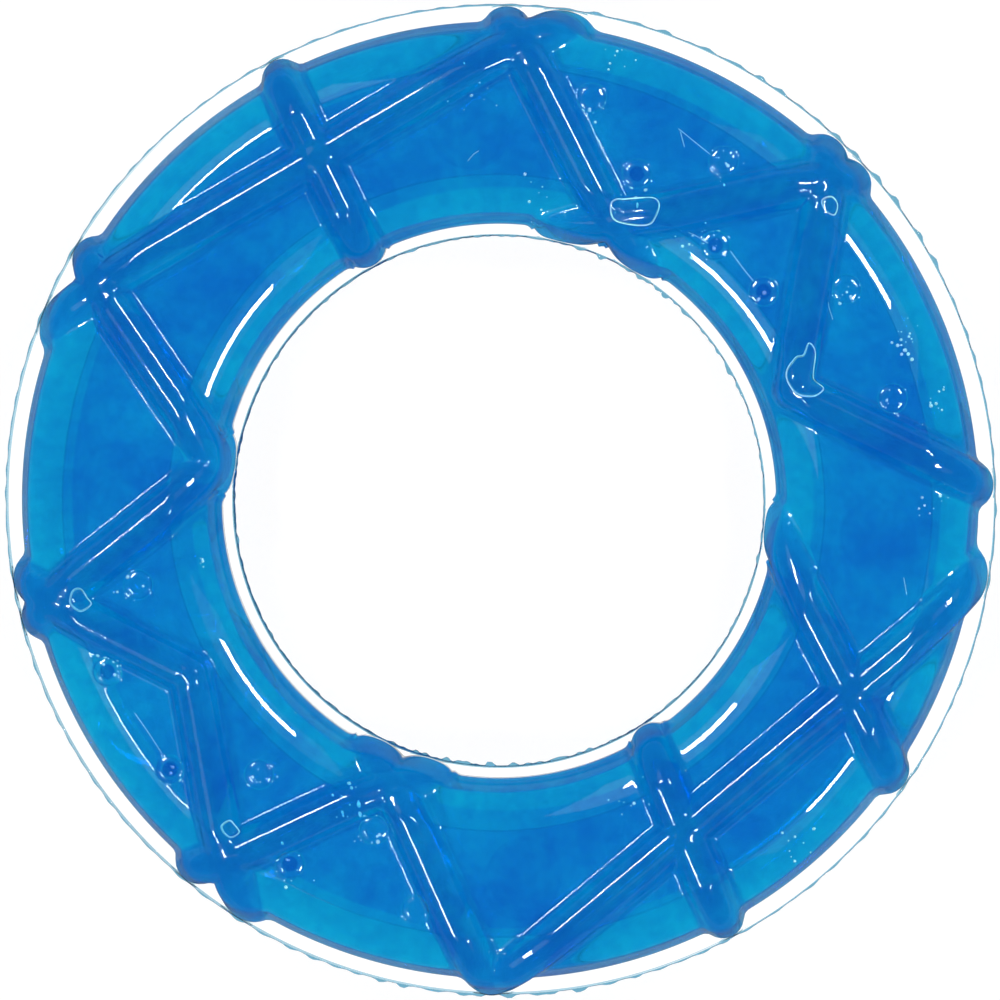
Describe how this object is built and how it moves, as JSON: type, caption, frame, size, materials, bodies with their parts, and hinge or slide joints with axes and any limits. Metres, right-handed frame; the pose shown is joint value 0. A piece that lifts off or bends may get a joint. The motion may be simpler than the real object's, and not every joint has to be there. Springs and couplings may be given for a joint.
{
  "type": "cooling chew ring dog toy",
  "caption": "Flat freezable chew ring for a dog: two clear soft half shells with a raised rib net, welded at both rims around a blue cooling liquid.",
  "frame": {"origin": "centre of the ring, on the surface that its lowest ribs rest on", "axes": "+Z along the ring's axis, up through the upper shell; +Y is the top of the reference view"},
  "size_m": [0.15, 0.15, 0.0236],
  "materials": {
    "clear_shell": "clear soft plastic, glossy, slightly hazy",
    "blue_fluid": "transparent blue liquid",
    "weld": "clear fused weld with an uneven bead"
  },
  "bodies": {
    "root": {"upper_shell": "clear_shell", "lower_shell": "clear_shell", "cooling_fluid": "blue_fluid", "outer_weld_seam": "weld", "inner_weld_seam": "weld"}
  },
  "joints": []
}
